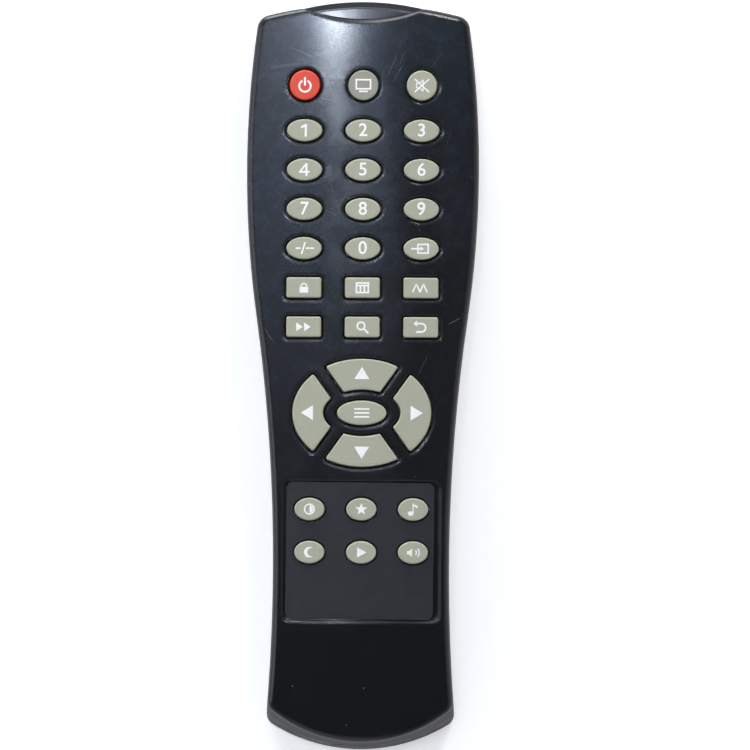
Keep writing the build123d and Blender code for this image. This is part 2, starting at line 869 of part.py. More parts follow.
with BuildPart() as capacitor:
    # The can lies along the case, and its two leads bend up to the board.
    with BuildSketch(Plane.XZ.offset(-capacitor_y)):
        with Locations((capacitor_x, capacitor_z)):
            Circle(capacitor_radius)
    extrude(amount=capacitor_length / 2, both=True)
    fillet(capacitor.edges(), lead_radius)
    for side in (-1, 1):
        lead_x = capacitor_x + side * capacitor_radius / 2
        lead_y = capacitor_y - capacitor_length / 2 - lead_length
        add(block(
            (lead_x - lead_radius, lead_y, capacitor_z - lead_radius),
            (lead_x + lead_radius, capacitor_y - capacitor_length / 2, capacitor_z + lead_radius),
        ))
        add(block(
            (lead_x - lead_radius, lead_y, capacitor_z - lead_radius),
            (lead_x + lead_radius, lead_y + 2 * lead_radius, board_bottom),
        ))

keep(capacitor.part, "capacitor")

transistor_x, transistor_y = transistor_spot

with BuildPart() as transistor:
    with BuildSketch(Plane.XY.offset(board_bottom - lead_length)):
        with Locations(transistor_spot):
            Circle(transistor_radius)
        with Locations((transistor_x, transistor_y - transistor_flat - transistor_radius)):
            Rectangle(2 * transistor_radius, 2 * transistor_radius, mode=Mode.SUBTRACT)
    extrude(amount=-transistor_height)
    transistor_leads = [(transistor_x + step * chip_pin_pitch, transistor_y) for step in (-1, 0, 1)]
    add(discs(transistor_leads, lead_radius, board_bottom - lead_length, board_bottom))

keep(transistor.part, "transistor")

resistor_z = board_bottom - chip_standoff - resistor_radius

with BuildPart() as resistors:
    # A turned body with fuller ends and a lead at each end, bent up to the board.
    resistor_x, resistor_y = resistor_spot
    waist = resistor_radius - lead_radius
    half_length = resistor_length / 2
    for number in range(resistor_count):
        row_y = resistor_y - number * resistor_pitch
        with Locations(Location((resistor_x, row_y, resistor_z), (0, 90, 0))):
            Cylinder(waist, resistor_length)
        for side in (-1, 1):
            end_x = resistor_x + side * (half_length - resistor_radius)
            with Locations(Location((end_x, row_y, resistor_z), (0, 90, 0))):
                Cylinder(resistor_radius, resistor_radius)
            inner_x = resistor_x + side * half_length
            outer_x = resistor_x + side * (half_length + lead_length)
            low_x, high_x = sorted((inner_x, outer_x))
            add(block(
                (low_x, row_y - lead_radius, resistor_z - lead_radius),
                (high_x, row_y + lead_radius, resistor_z + lead_radius),
            ))
            low_x, high_x = sorted((outer_x, outer_x - side * 2 * lead_radius))
            add(block(
                (low_x, row_y - lead_radius, resistor_z - lead_radius),
                (high_x, row_y + lead_radius, board_bottom),
            ))

keep(resistors.part, "resistors")

led_tip_y = led_body_y + led_length

with BuildPart() as ir_led:
    with BuildSketch(Plane.YZ):
        with BuildLine():
            Polyline(
                (led_tip_y - led_radius, led_z + led_radius),
                (led_body_y, led_z + led_radius),
                (led_body_y, led_z + led_radius + led_flange),
                (led_body_y - led_flange_length, led_z + led_radius + led_flange),
                (led_body_y - led_flange_length, led_z),
                (led_tip_y, led_z),
            )
            RadiusArc((led_tip_y - led_radius, led_z + led_radius), (led_tip_y, led_z), led_radius)
        make_face()
    revolve(axis=Axis((0, 0, led_z), (0, 1, 0)), revolution_arc=360)

keep(ir_led.part, "ir_led")

with BuildPart() as led_leads:
    for side in (-1, 1):
        lead_x = side * led_lead_pitch / 2
        add(block(
            (lead_x - led_lead_size / 2, board_front_y - led_lead_overlap, led_z - led_lead_size / 2),
            (lead_x + led_lead_size / 2, led_body_y - led_flange_length, led_z + led_lead_size / 2),
        ))

keep(led_leads.part, "led_leads")


# Cells, springs and contact plates

first_cell_y = bay_foot_y + contact_thickness + spring_room
cell_body_length = cell_length - nub_length


def make_cell(side, start_y, direction):
    # The plain end is at start_y, and the nub points along direction.
    plane = Plane((side * cell_x, start_y, cell_z), x_dir=(1, 0, 0), z_dir=(0, direction, 0))
    with BuildPart() as cell:
        with BuildSketch(plane):
            Circle(cell_radius)
        extrude(amount=cell_body_length)
        fillet(cell.edges(), cell_gap)
        with BuildSketch(plane.offset(cell_body_length)):
            Circle(nub_radius)
        extrude(amount=nub_length)
    return cell.part


keep(make_cell(-1, first_cell_y, 1), "battery_cell_left")
keep(make_cell(1, first_cell_y + cell_length - spring_room, -1), "battery_cell_right")


def make_spring(side, start_y, direction):
    # A conical coil from its plate, wide end first, to the plain end of a cell.
    lift = spring_wire / 2 + spring_end_gap
    with BuildPart() as spring:
        with BuildLine() as coil:
            Helix(
                spring_pitch,
                spring_room - 2 * lift,
                spring_base_radius,
                center=(side * cell_x, start_y + direction * lift, cell_z),
                direction=(0, direction, 0),
                cone_angle=spring_cone_angle,
            )
        with BuildSketch(Plane(coil.line @ 0, z_dir=coil.line % 0)):
            Circle(spring_wire / 2)
        sweep(is_frenet=True)
    straight_volume = coil.edges()[0].length * math.pi * (spring_wire / 2)**2
    print(f"spring volume {spring.part.volume:.2f}, wire section times length {straight_volume:.2f}")
    return spring.part


foot_spring = make_spring(-1, bay_foot_y + contact_thickness, 1)
head_spring = make_spring(1, bay_head_y - contact_thickness, -1)
keep(Compound(children=[foot_spring, head_spring]), "contact_springs")

bridge_x = cell_x + contact_half_width
keep(
    block((-bridge_x, bay_foot_y, contact_bottom), (bridge_x, bay_foot_y + contact_thickness, contact_top)),
    "bridge_contact",
)


def make_end_contact(side):
    # An upright plate at the head of the bay, with a tab that passes through the roof and the board.
    low_y = bay_head_y - contact_thickness
    middle_x = side * cell_x
    with BuildPart() as plate:
        add(block(
            (middle_x - contact_half_width, low_y, contact_bottom),
            (middle_x + contact_half_width, bay_head_y, contact_top),
        ))
        add(block(
            (middle_x - tab_half_width, low_y, contact_bottom),
            (middle_x + tab_half_width, bay_head_y, board_top),
        ))
    return plate.part


keep(make_end_contact(-1), "positive_contact")
keep(make_end_contact(1), "negative_contact")


# Case screws

with BuildPart() as case_screws:
    with BuildSketch(Plane.XY.offset(screw_seat_z)):
        with Locations(*screw_spots):
            Circle(screw_radius)
    extrude(amount=screw_length)
    with BuildSketch(Plane.XY.offset(screw_seat_z - screw_head_height)):
        with Locations(*screw_spots):
            Circle(screw_head_radius)
    extrude(amount=screw_head_height)
    with BuildSketch(Plane.XY.offset(screw_seat_z - screw_head_height)):
        with Locations(*screw_spots):
            Rectangle(screw_slot_length, screw_slot_width)
            Rectangle(screw_slot_width, screw_slot_length)
    extrude(amount=screw_slot_depth, mode=Mode.SUBTRACT)

keep(case_screws.part, "case_screws")
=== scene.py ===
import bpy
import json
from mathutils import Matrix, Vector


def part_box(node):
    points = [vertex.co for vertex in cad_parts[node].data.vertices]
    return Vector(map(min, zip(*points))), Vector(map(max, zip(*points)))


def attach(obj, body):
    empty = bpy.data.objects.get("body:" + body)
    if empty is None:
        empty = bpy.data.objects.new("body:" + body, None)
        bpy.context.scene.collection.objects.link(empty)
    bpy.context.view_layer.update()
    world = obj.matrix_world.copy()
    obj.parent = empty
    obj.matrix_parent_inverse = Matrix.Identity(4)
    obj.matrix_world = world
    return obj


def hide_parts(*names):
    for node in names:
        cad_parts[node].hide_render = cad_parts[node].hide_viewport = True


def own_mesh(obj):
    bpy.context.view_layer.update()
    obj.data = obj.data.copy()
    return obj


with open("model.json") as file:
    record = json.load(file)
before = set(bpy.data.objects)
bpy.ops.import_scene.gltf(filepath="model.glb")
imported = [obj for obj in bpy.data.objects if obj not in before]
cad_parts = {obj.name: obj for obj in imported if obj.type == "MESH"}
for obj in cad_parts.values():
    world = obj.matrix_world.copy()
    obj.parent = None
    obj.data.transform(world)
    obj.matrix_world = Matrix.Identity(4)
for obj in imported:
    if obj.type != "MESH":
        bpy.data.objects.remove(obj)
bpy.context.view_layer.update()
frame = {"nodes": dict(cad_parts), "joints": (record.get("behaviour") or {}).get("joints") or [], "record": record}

import json
import math

import bmesh
import bpy
from mathutils import Vector

mm = 0.001
print("frame loaded")


# Colour and node helpers

def srgb(red, green, blue):
    values = []
    for part in (red / 255, green / 255, blue / 255):
        values.append(part / 12.92 if part <= 0.04045 else ((part + 0.055) / 1.055) ** 2.4)
    return (*values, 1.0)


def addNode(tree, kind, inputs=None, **settings):
    node = tree.nodes.new(kind)
    for name, value in settings.items():
        setattr(node, name, value)
    for name, value in (inputs or {}).items():
        if isinstance(value, bpy.types.NodeSocket):
            tree.links.new(value, node.inputs[name])
        else:
            node.inputs[name].default_value = value
    return node


def addMath(tree, operation, first, second=0.0, third=0.0):
    node = addNode(tree, "ShaderNodeMath", {0: first, 1: second, 2: third}, operation=operation)
    return node.outputs[0]


def strongest(tree, masks):
    total = masks[0]
    for mask in masks[1:]:
        total = addMath(tree, "MAXIMUM", total, mask)
    return total


def smoothBand(tree, value, low, high, fromValue=0.0, toValue=1.0):
    node = addNode(
        tree, "ShaderNodeMapRange",
        {"Value": value, "From Min": low, "From Max": high, "To Min": fromValue, "To Max": toValue},
        interpolation_type="SMOOTHSTEP",
    )
    return node.outputs[0]


def addVector(tree, operation, first, second=(0, 0, 0)):
    node = addNode(tree, "ShaderNodeVectorMath", {0: first, 1: second}, operation=operation)
    return node.outputs[0]


def addScaled(tree, vector, scale):
    node = addNode(tree, "ShaderNodeVectorMath", {0: vector, "Scale": scale}, operation="SCALE")
    return node.outputs[0]


def mixColors(tree, factor, first, second):
    node = addNode(tree, "ShaderNodeMix", {0: factor, 6: first, 7: second}, data_type="RGBA")
    return node.outputs[2]  # 6 and 7 go in and 2 comes out as colours


def startGroup(name, inputs, outputs):
    group = bpy.data.node_groups.new(name, "ShaderNodeTree")
    for label, value in inputs.items():
        socket = group.interface.new_socket(label, in_out="INPUT", socket_type="NodeSocketFloat")
        socket.default_value = value
    for label, kind in outputs.items():
        group.interface.new_socket(label, in_out="OUTPUT", socket_type=kind)
    return group, group.nodes.new("NodeGroupInput"), group.nodes.new("NodeGroupOutput")


def scaledCoords(group, scale, stretch=(1, 1, 1), turn=0.0):
    coords = addNode(group, "ShaderNodeTexCoord").outputs["Object"]
    turned = addNode(
        group, "ShaderNodeMapping", {"Vector": coords, "Rotation": (0, 0, turn), "Scale": stretch},
        vector_type="TEXTURE",
    ).outputs[0]
    return addScaled(group, turned, scale)


# Shared effects: each group puts out a mask, a height or a normal that changes over the surface

def makeGrain():
    group, inside, outside = startGroup("mouldedGrain", {"Scale": 6000.0}, {"Height": "NodeSocketFloat"})
    coords = scaledCoords(group, inside.outputs["Scale"])
    noise = addNode(
        group, "ShaderNodeTexNoise", {"Vector": coords, "Scale": 1.0, "Detail": 3.0, "Roughness": 0.6},
    )
    group.links.new(noise.outputs[0], outside.inputs["Height"])
    return group


def makeSmudges():
    group, inside, outside = startGroup(
        "handlingSmudges", {"Scale": 60.0, "Low": 0.42, "High": 0.66}, {"Mask": "NodeSocketFloat"},
    )
    coords = scaledCoords(group, inside.outputs["Scale"])
    noise = addNode(
        group, "ShaderNodeTexNoise",
        {"Vector": coords, "Scale": 1.0, "Detail": 6.0, "Roughness": 0.65, "Distortion": 0.6},
    )
    mask = smoothBand(group, noise.outputs[0], inside.outputs["Low"], inside.outputs["High"])
    group.links.new(mask, outside.inputs["Mask"])
    return group


scratchSets = {
    "turns": (0.35, -0.5, 1.25, 2.3), "stretch": 42.0, "shift": (17.3, 5.1),
    "patchScale": 0.28, "patchLow": 0.48, "patchHigh": 0.7,
}


def makeScratches():
    group, inside, outside = startGroup(
        "hairScratches", {"Scale": 1500.0, "Width": 0.03}, {"Mask": "NodeSocketFloat"},
    )
    shiftX, shiftY = scratchSets["shift"]
    scratches = []
    for number, turn in enumerate(scratchSets["turns"]):
        coords = scaledCoords(group, inside.outputs["Scale"], (1, scratchSets["stretch"], 1), turn)
        shifted = addVector(group, "ADD", coords, (shiftX * number, shiftY * number, 0))
        noise = addNode(
            group, "ShaderNodeTexNoise",
            {"Vector": shifted, "Scale": 1.0, "Detail": 1.0, "Roughness": 0.4, "Distortion": 0.15},
        )
        offCentre = addMath(group, "ABSOLUTE", addMath(group, "SUBTRACT", noise.outputs[0], 0.5))
        line = smoothBand(group, offCentre, 0.0, inside.outputs["Width"], 1.0, 0.0)
        patch = addNode(
            group, "ShaderNodeTexNoise",
            {"Vector": shifted, "Scale": scratchSets["patchScale"], "Detail": 2.0},
        )
        broken = smoothBand(group, patch.outputs[0], scratchSets["patchLow"], scratchSets["patchHigh"])
        scratches.append(addMath(group, "MULTIPLY", line, broken))
    group.links.new(strongest(group, scratches), outside.inputs["Mask"])
    return group


speckCore = 0.4  # share of a speck's size that is fully opaque


def makeSpecks():
    group, inside, outside = startGroup(
        "dustSpecks", {"Scale": 260.0, "Size": 0.09, "Share": 0.12}, {"Mask": "NodeSocketFloat"},
    )
    coords = scaledCoords(group, inside.outputs["Scale"])
    cells = addNode(group, "ShaderNodeTexVoronoi", {"Vector": coords, "Scale": 1.0})
    inner = addMath(group, "MULTIPLY", inside.outputs["Size"], speckCore)
    dot = smoothBand(group, cells.outputs["Distance"], inner, inside.outputs["Size"], 1.0, 0.0)
    chance = addNode(group, "ShaderNodeSeparateColor", {0: cells.outputs["Color"]}).outputs[0]
    picked = addMath(group, "LESS_THAN", chance, inside.outputs["Share"])
    group.links.new(addMath(group, "MULTIPLY", dot, picked), outside.inputs["Mask"])
    return group


markCore = {"reach": 0.5, "width": 0.3}  # shares of a mark that are fully opaque


def makeMark():
    # One scratch, wipe arc or dust dot at a place of its own.
    group, inside, outside = startGroup(
        "singleMark",
        {"X": 0.0, "Y": 0.0, "Turn": 0.0, "Reach": 2.0 * mm, "Width": 0.1 * mm, "Bend": 0.0},
        {"Mask": "NodeSocketFloat"},
    )
    coords = addNode(group, "ShaderNodeTexCoord").outputs["Object"]
    places = {0: inside.outputs["X"], 1: inside.outputs["Y"]}
    centre = addNode(group, "ShaderNodeCombineXYZ", places).outputs[0]
    moved = addVector(group, "SUBTRACT", coords, centre)
    turned = addNode(
        group, "ShaderNodeVectorRotate", {"Vector": moved, "Angle": inside.outputs["Turn"]},
        rotation_type="Z_AXIS", invert=True,
    ).outputs[0]
    apart = addNode(group, "ShaderNodeSeparateXYZ", {0: turned})
    square = addMath(group, "MULTIPLY", apart.outputs[0], apart.outputs[0])
    bent = addMath(group, "MULTIPLY_ADD", square, inside.outputs["Bend"], apart.outputs[1])
    offLine = addMath(group, "ABSOLUTE", bent)
    offCentre = addMath(group, "ABSOLUTE", apart.outputs[0])
    innerReach = addMath(group, "MULTIPLY", inside.outputs["Reach"], markCore["reach"])
    innerWidth = addMath(group, "MULTIPLY", inside.outputs["Width"], markCore["width"])
    along = smoothBand(group, offCentre, innerReach, inside.outputs["Reach"], 1.0, 0.0)
    across = smoothBand(group, offLine, innerWidth, inside.outputs["Width"], 1.0, 0.0)
    group.links.new(addMath(group, "MULTIPLY", along, across), outside.inputs["Mask"])
    return group


crown = {
    "top": 24.0 * mm, "crossRadius": 200.0 * mm, "longRadius": 1500.0 * mm, "keyLift": 1.0 * mm,
    "rimSamples": 6,
}


def makeCrownNormal():
    # The true slope of the doubly curved top, so that its gloss runs smoothly over the flat facets.
    # The rims round the openings are softened a little with it.
    group, inside, outside = startGroup(
        "crownNormal", {"Steepest": 0.986, "Rim": 1.1 * mm}, {"Normal": "NodeSocketVector"},
    )
    coords = addNode(group, "ShaderNodeTexCoord").outputs["Object"]
    slopes = (1 / crown["crossRadius"], 1 / crown["longRadius"], 0)
    upright = addVector(group, "ADD", addVector(group, "MULTIPLY", coords, slopes), (0, 0, 1))
    smooth = addVector(group, "NORMALIZE", upright)
    placed = addNode(
        group, "ShaderNodeVectorTransform", {0: smooth},
        vector_type="NORMAL", convert_from="OBJECT", convert_to="WORLD",
    ).outputs[0]
    geometry = addNode(group, "ShaderNodeNewGeometry")
    height = addNode(group, "ShaderNodeSeparateXYZ", {0: geometry.outputs["True Normal"]}).outputs[2]
    onTop = addMath(group, "GREATER_THAN", height, inside.outputs["Steepest"])
    picked = addNode(
        group, "ShaderNodeMix", {0: onTop, 4: geometry.outputs["Normal"], 5: placed}, data_type="VECTOR",
    )
    smoothTop = picked.outputs[1]  # 4 and 5 go in and 1 comes out as vectors
    rounded = addNode(
        group, "ShaderNodeBevel", {"Radius": inside.outputs["Rim"]}, samples=crown["rimSamples"],
    ).outputs[0]
    turn = addVector(group, "SUBTRACT", rounded, geometry.outputs["Normal"])
    turned = addVector(group, "ADD", smoothTop, turn)
    group.links.new(addVector(group, "NORMALIZE", turned), outside.inputs["Normal"])
    return group


def makeFlank():
    # Tells the steep flanks, which are moulded matt, from the polished top.
    group, inside, outside = startGroup(
        "steepFlank", {"Low": 0.15, "High": 0.6}, {"Mask": "NodeSocketFloat"},
    )
    normal = addNode(group, "ShaderNodeNewGeometry").outputs["Normal"]
    height = addNode(group, "ShaderNodeSeparateXYZ", {0: normal}).outputs[2]
    mask = smoothBand(group, height, inside.outputs["Low"], inside.outputs["High"], 1.0, 0.0)
    group.links.new(mask, outside.inputs["Mask"])
    return group


groups = {
    "grain": makeGrain(),
    "smudges": makeSmudges(),
    "scratches": makeScratches(),
    "specks": makeSpecks(),
    "mark": makeMark(),
    "crownNormal": makeCrownNormal(),
    "flank": makeFlank(),
}
print("shared effects built")


def useGroup(tree, name, output, **values):
    node = addNode(tree, "ShaderNodeGroup", node_tree=groups[name])
    for label, value in values.items():
        node.inputs[label].default_value = value
    return node.outputs[output]


def startMaterial(name):
    material = bpy.data.materials.new(name)
    material.use_nodes = True
    tree = material.node_tree
    return material, tree, tree.nodes["Principled BSDF"]


# Glossy black of the upper case: a painted bluish sheen mottled like haze, smudges, hair scratches and dust

plainShine = 0.5  # the shader's usual specular level, kept on level faces

gloss = {
    "black": srgb(24, 25, 27),
    # painted reflection: the bluish glow of the window, mixed into the black where the glare lies
    "sheenBlue": srgb(38, 45, 58),
    "dustGrey": srgb(150, 154, 162),
    "smudges": {"Scale": 70.0, "Low": 0.4, "High": 0.68},
    "hazeAndSheen": {"Scale": 22.0, "Low": 0.45, "High": 0.75},
    "mottle": {"Scale": 300.0, "Low": 0.46, "High": 0.62},
    "scratches": {"Scale": 1500.0, "Width": 0.012},
    "specks": {"Scale": 170.0, "Size": 0.035, "Share": 0.06},
    "grime": {"Scale": 1500.0, "Size": 0.3, "Share": 0.2},
    "grain": {"Scale": 3400.0},
    "handled": (-50 * mm, 30 * mm, 0.04, 0.45),  # along y, and the scratches' strength at each end
    "sheenAlong": (-30 * mm, 60 * mm, 0.08, 1.0),  # the same for the painted bluish sheen
    "sheenAcross": (-12 * mm, 16 * mm, 1.0, 0.4),  # and across, along x
    "sheenShare": 0.45,
    "mottleShare": 0.6,
    "scratchTint": 0.12,
    "speckTint": 0.35,
    "lineTint": 0.3,
    "smoothRough": 0.08,
    "smudgedRough": 0.16,
    "grimeWear": 0.6,
    "scratchedRough": 0.42,
    "flankRough": 0.6,
    "flankShine": 0.22,
    "grainBump": 0.5,
    "scratchBump": 0.1,
    "lineBump": 0.4,
    "bumpStrength": 0.5,
    "bumpDepth": 0.02 * mm,
}
# Marks seen on the top: x and y in mm, turn in degrees, half length and half width in mm,
# bend per metre and strength
marks = (
    (-6.0, 74.3, -2.0, 2.6, 0.14, 0.0, 1.0),
    (7.4, 79.0, 68.0, 3.6, 0.1, 0.0, 0.5),
    (8.6, 76.5, 62.0, 3.2, 0.1, 0.0, 0.5),
    (9.8, 80.6, 70.0, 2.6, 0.09, 0.0, 0.4),
    (18.5, 80.0, 55.0, 2.8, 0.1, 0.0, 0.35),
    (-19.6, 78.6, 8.0, 4.6, 0.45, 14.0, 0.3),
    (-15.6, 82.0, -22.0, 4.0, 0.35, 10.0, 0.25),
    (-17.8, 70.6, 30.0, 3.2, 0.14, 0.0, 0.3),
    (23.4, 14.0, 28.0, 2.0, 0.13, 0.0, 0.8),
    (-23.8, 10.5, -62.0, 1.9, 0.12, 0.0, 0.6),
    (-22.9, 9.2, -60.0, 1.4, 0.1, 0.0, 0.5),
    (15.4, 2.8, 66.0, 3.6, 0.08, 0.0, 0.5),
    (-20.4, 45.6, -38.0, 3.0, 0.1, 5.0, 0.35),
    (-9.6, 52.4, 24.0, 2.6, 0.1, 0.0, 0.3),
    (0.6, 32.4, 80.0, 4.0, 0.07, 0.0, 0.3),
    (21.6, 60.0, 74.0, 3.0, 0.09, 0.0, 0.3),
    (-17.2, -78.6, 0.0, 0.3, 0.18, 0.0, 0.9),
    (0.8, -79.0, 0.0, 0.3, 0.18, 0.0, 0.9),
    (-3.5, -88.4, 0.0, 0.28, 0.16, 0.0, 0.8),
    (13.6, -25.4, 0.0, 0.22, 0.13, 0.0, 0.5),
)


def drawMarks(tree):
    masks = []
    for x, y, turn, reach, width, bend, strength in marks:
        mask = useGroup(
            tree, "mark", "Mask", X=x * mm, Y=y * mm, Turn=math.radians(turn),
            Reach=reach * mm, Width=width * mm, Bend=bend,
        )
        masks.append(addMath(tree, "MULTIPLY", mask, strength))
    return strongest(tree, masks)


def flankShine(tree, flank, shine):
    return smoothBand(tree, flank, 0.0, 1.0, plainShine, shine)


def makeCaseGloss():
    material, tree, shader = startMaterial("caseGloss")
    coords = addNode(tree, "ShaderNodeTexCoord").outputs["Object"]
    apart = addNode(tree, "ShaderNodeSeparateXYZ", {0: coords}).outputs
    across, along = apart[0], apart[1]
    flank = useGroup(tree, "flank", "Mask")
    specks = useGroup(tree, "specks", "Mask", **gloss["specks"])
    lines = drawMarks(tree)
    hairs = useGroup(tree, "scratches", "Mask", **gloss["scratches"])
    scratches = addMath(tree, "MULTIPLY", hairs, smoothBand(tree, along, *gloss["handled"]))

    # A bluish tint painted into the colour stands in for the reflected window glow, mottled like haze; it thins
    # out towards the foot and the right.
    hazeAndSheen = useGroup(tree, "smudges", "Mask", **gloss["hazeAndSheen"])
    hazeAndSheen = addMath(tree, "MULTIPLY", hazeAndSheen, gloss["sheenShare"])
    mottle = useGroup(tree, "smudges", "Mask", **gloss["mottle"])
    cloud = addMath(tree, "MULTIPLY_ADD", mottle, gloss["mottleShare"], hazeAndSheen)
    sheenAlong = smoothBand(tree, along, *gloss["sheenAlong"])
    sheenAcross = smoothBand(tree, across, *gloss["sheenAcross"])
    sheenMask = addMath(tree, "MULTIPLY", cloud, addMath(tree, "MULTIPLY", sheenAlong, sheenAcross))
    # Painted sheen: the bluish reflected glow is mixed into the base colour here.
    color = mixColors(tree, sheenMask, gloss["black"], gloss["sheenBlue"])
    for mask, tint in ((scratches, "scratchTint"), (specks, "speckTint"), (lines, "lineTint")):
        color = mixColors(tree, addMath(tree, "MULTIPLY", mask, gloss[tint]), color, gloss["dustGrey"])
    tree.links.new(color, shader.inputs["Base Color"])

    smudges = useGroup(tree, "smudges", "Mask", **gloss["smudges"])
    smudgeRise = gloss["smudgedRough"] - gloss["smoothRough"]
    polished = addMath(tree, "MULTIPLY_ADD", smudges, smudgeRise, gloss["smoothRough"])
    grime = useGroup(tree, "specks", "Mask", **gloss["grime"])
    grime = addMath(tree, "MULTIPLY", grime, gloss["grimeWear"])
    worn = strongest(tree, [scratches, specks, grime, lines])
    dulled = addMath(tree, "MULTIPLY", worn, gloss["scratchedRough"])
    matt = addMath(tree, "MULTIPLY", flank, gloss["flankRough"])
    tree.links.new(strongest(tree, [polished, dulled, matt]), shader.inputs["Roughness"])
    tree.links.new(flankShine(tree, flank, gloss["flankShine"]), shader.inputs["Specular IOR Level"])

    grain = useGroup(tree, "grain", "Height", **gloss["grain"])
    height = addMath(tree, "MULTIPLY", grain, gloss["grainBump"])
    height = addMath(tree, "MULTIPLY_ADD", scratches, -gloss["scratchBump"], height)
    height = addMath(tree, "MULTIPLY_ADD", lines, -gloss["lineBump"], height)
    bump = addNode(tree, "ShaderNodeBump", {
        "Height": height, "Normal": useGroup(tree, "crownNormal", "Normal"),
        "Strength": gloss["bumpStrength"], "Distance": gloss["bumpDepth"],
    })
    tree.links.new(bump.outputs[0], shader.inputs["Normal"])
    return material


# Plain moulded, painted and metal finishes share one recipe with their own values

finishRecipe = {"smudges": {"Scale": 110.0}, "blotch": (0.35, 0.65), "bumpDepth": 0.03 * mm}
finishes = {
    "case_matte": dict(
        first=srgb(27, 28, 30), second=srgb(38, 39, 41), low=0.5, high=0.66,
        grain=5200.0, bump=0.35, mix=0.7, flankShine=0.2,
    ),
    "panel_film": dict(
        first=srgb(17, 19, 25), second=srgb(30, 32, 37), low=0.5, high=0.66,
        grain=3600.0, bump=0.3, mix=0.8,
    ),
    "window_plastic": dict(
        first=srgb(44, 44, 50), second=srgb(56, 56, 62), low=0.13, high=0.26,
        grain=1500.0, bump=0.02, mix=0.5, flankShine=0.0,
    ),
    "key_grey": dict(
        first=srgb(177, 178, 158), second=srgb(165, 166, 146), low=0.6, high=0.8,
        grain=5200.0, bump=0.3, mix=0.9,
    ),
    "key_grey_cool": dict(
        first=srgb(159, 158, 145), second=srgb(147, 146, 134), low=0.6, high=0.8,
        grain=5200.0, bump=0.3, mix=0.9,
    ),
    "key_red": dict(
        first=srgb(229, 84, 64), second=srgb(214, 68, 50), low=0.55, high=0.75,
        grain=5200.0, bump=0.3, mix=0.9,
    ),
    "mat_rubber": dict(
        first=srgb(96, 98, 96), second=srgb(84, 86, 84), low=0.6, high=0.8,
        grain=4000.0, bump=0.3, mix=0.9,
    ),
    "board": dict(
        first=srgb(120, 92, 48), second=srgb(98, 74, 38), low=0.3, high=0.5,
        grain=2500.0, bump=0.1, mix=0.8,
    ),
    "carbon": dict(
        first=srgb(24, 24, 25), second=srgb(38, 38, 39), low=0.5, high=0.7,
        grain=5000.0, bump=0.2, mix=0.8,
    ),
    "chip_epoxy": dict(
        first=srgb(30, 30, 31), second=srgb(42, 42, 43), low=0.45, high=0.65,
        grain=5000.0, bump=0.25, mix=0.8,
    ),
    "tinned_metal": dict(
        first=srgb(205, 205, 200), second=srgb(180, 180, 176), low=0.18, high=0.4,
        grain=3000.0, bump=0.1, mix=0.8, metal=1.0,
    ),
    "resonator_coat": dict(
        first=srgb(206, 130, 48), second=srgb(186, 112, 38), low=0.2, high=0.4,
        grain=1500.0, bump=0.1, mix=0.8,
    ),
    "capacitor_sleeve": dict(
        first=srgb(42, 50, 92), second=srgb(34, 40, 76), low=0.2, high=0.35,
        grain=1500.0, bump=0.05, mix=0.8,
    ),
    "resistor_coat": dict(
        first=srgb(206, 178, 134), second=srgb(188, 160, 118), low=0.25, high=0.4,
        grain=2000.0, bump=0.08, mix=0.8,
    ),
    "led_lens": dict(
        first=srgb(70, 50, 84), second=srgb(56, 40, 70), low=0.05, high=0.15,
        grain=1200.0, bump=0.02, mix=0.6,
    ),
    "cell_jacket": dict(
        first=srgb(92, 98, 108), second=srgb(78, 84, 94), low=0.2, high=0.35,
        grain=1800.0, bump=0.05, mix=0.8, metal=0.6,
    ),
    "spring_steel": dict(
        first=srgb(200, 198, 190), second=srgb(172, 170, 162), low=0.2, high=0.4,
        grain=2500.0, bump=0.1, mix=0.8, metal=1.0,
    ),
    "screw_steel": dict(
        first=srgb(58, 58, 62), second=srgb(44, 44, 48), low=0.25, high=0.45,
        grain=2500.0, bump=0.1, mix=0.8, metal=1.0,
    ),
    "legend_ink": dict(
        first=srgb(253, 254, 251), second=srgb(240, 241, 238), low=0.5, high=0.7,
        grain=5200.0, bump=0.2, mix=0.7,
    ),
}


def makeFinish(name, values):
    material, tree, shader = startMaterial(name)
    grain = useGroup(tree, "grain", "Height", Scale=values["grain"])
    smudges = useGroup(tree, "smudges", "Mask", **finishRecipe["smudges"])
    blotch = addMath(tree, "MULTIPLY", smoothBand(tree, grain, *finishRecipe["blotch"]), values["mix"])
    color = mixColors(tree, blotch, values["first"], values["second"])
    tree.links.new(color, shader.inputs["Base Color"])
    rough = addMath(tree, "MULTIPLY_ADD", smudges, values["high"] - values["low"], values["low"])
    tree.links.new(rough, shader.inputs["Roughness"])
    shader.inputs["Metallic"].default_value = values.get("metal", 0.0)
    if "flankShine" in values:
        shine = flankShine(tree, useGroup(tree, "flank", "Mask"), values["flankShine"])
        tree.links.new(shine, shader.inputs["Specular IOR Level"])
    bump = addNode(
        tree, "ShaderNodeBump",
        {"Height": grain, "Strength": values["bump"], "Distance": finishRecipe["bumpDepth"]},
    )
    tree.links.new(bump.outputs[0], shader.inputs["Normal"])
    return material


materials = {name: makeFinish(name, values) for name, values in finishes.items()}
materials["case_gloss"] = makeCaseGloss()
print("materials built")

for entry in frame["record"]["subparts"]:
    node = frame["nodes"][entry["node"]]
    node.data.materials.clear()
    node.data.materials.append(materials[entry["material_slot"]])
print("materials assigned")


# Rubber webs: the one CAD node holds the web of every key, and here it is split into one web per key, each held by
# the housing

weldReach = 0.001 * mm  # how near two corners lie to be one


def keyCentre(node):
    low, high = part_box(node)
    return (low[0] + high[0]) / 2, (low[1] + high[1]) / 2


def findIslands(shape):
    waiting, islands = set(shape.verts), []
    while waiting:
        island, edge = set(), [waiting.pop()]
        while edge:
            vertex = edge.pop()
            island.add(vertex)
            near = {link.other_vert(vertex) for link in vertex.link_edges} & waiting
            waiting -= near
            edge.extend(near)
        islands.append(island)
    return islands


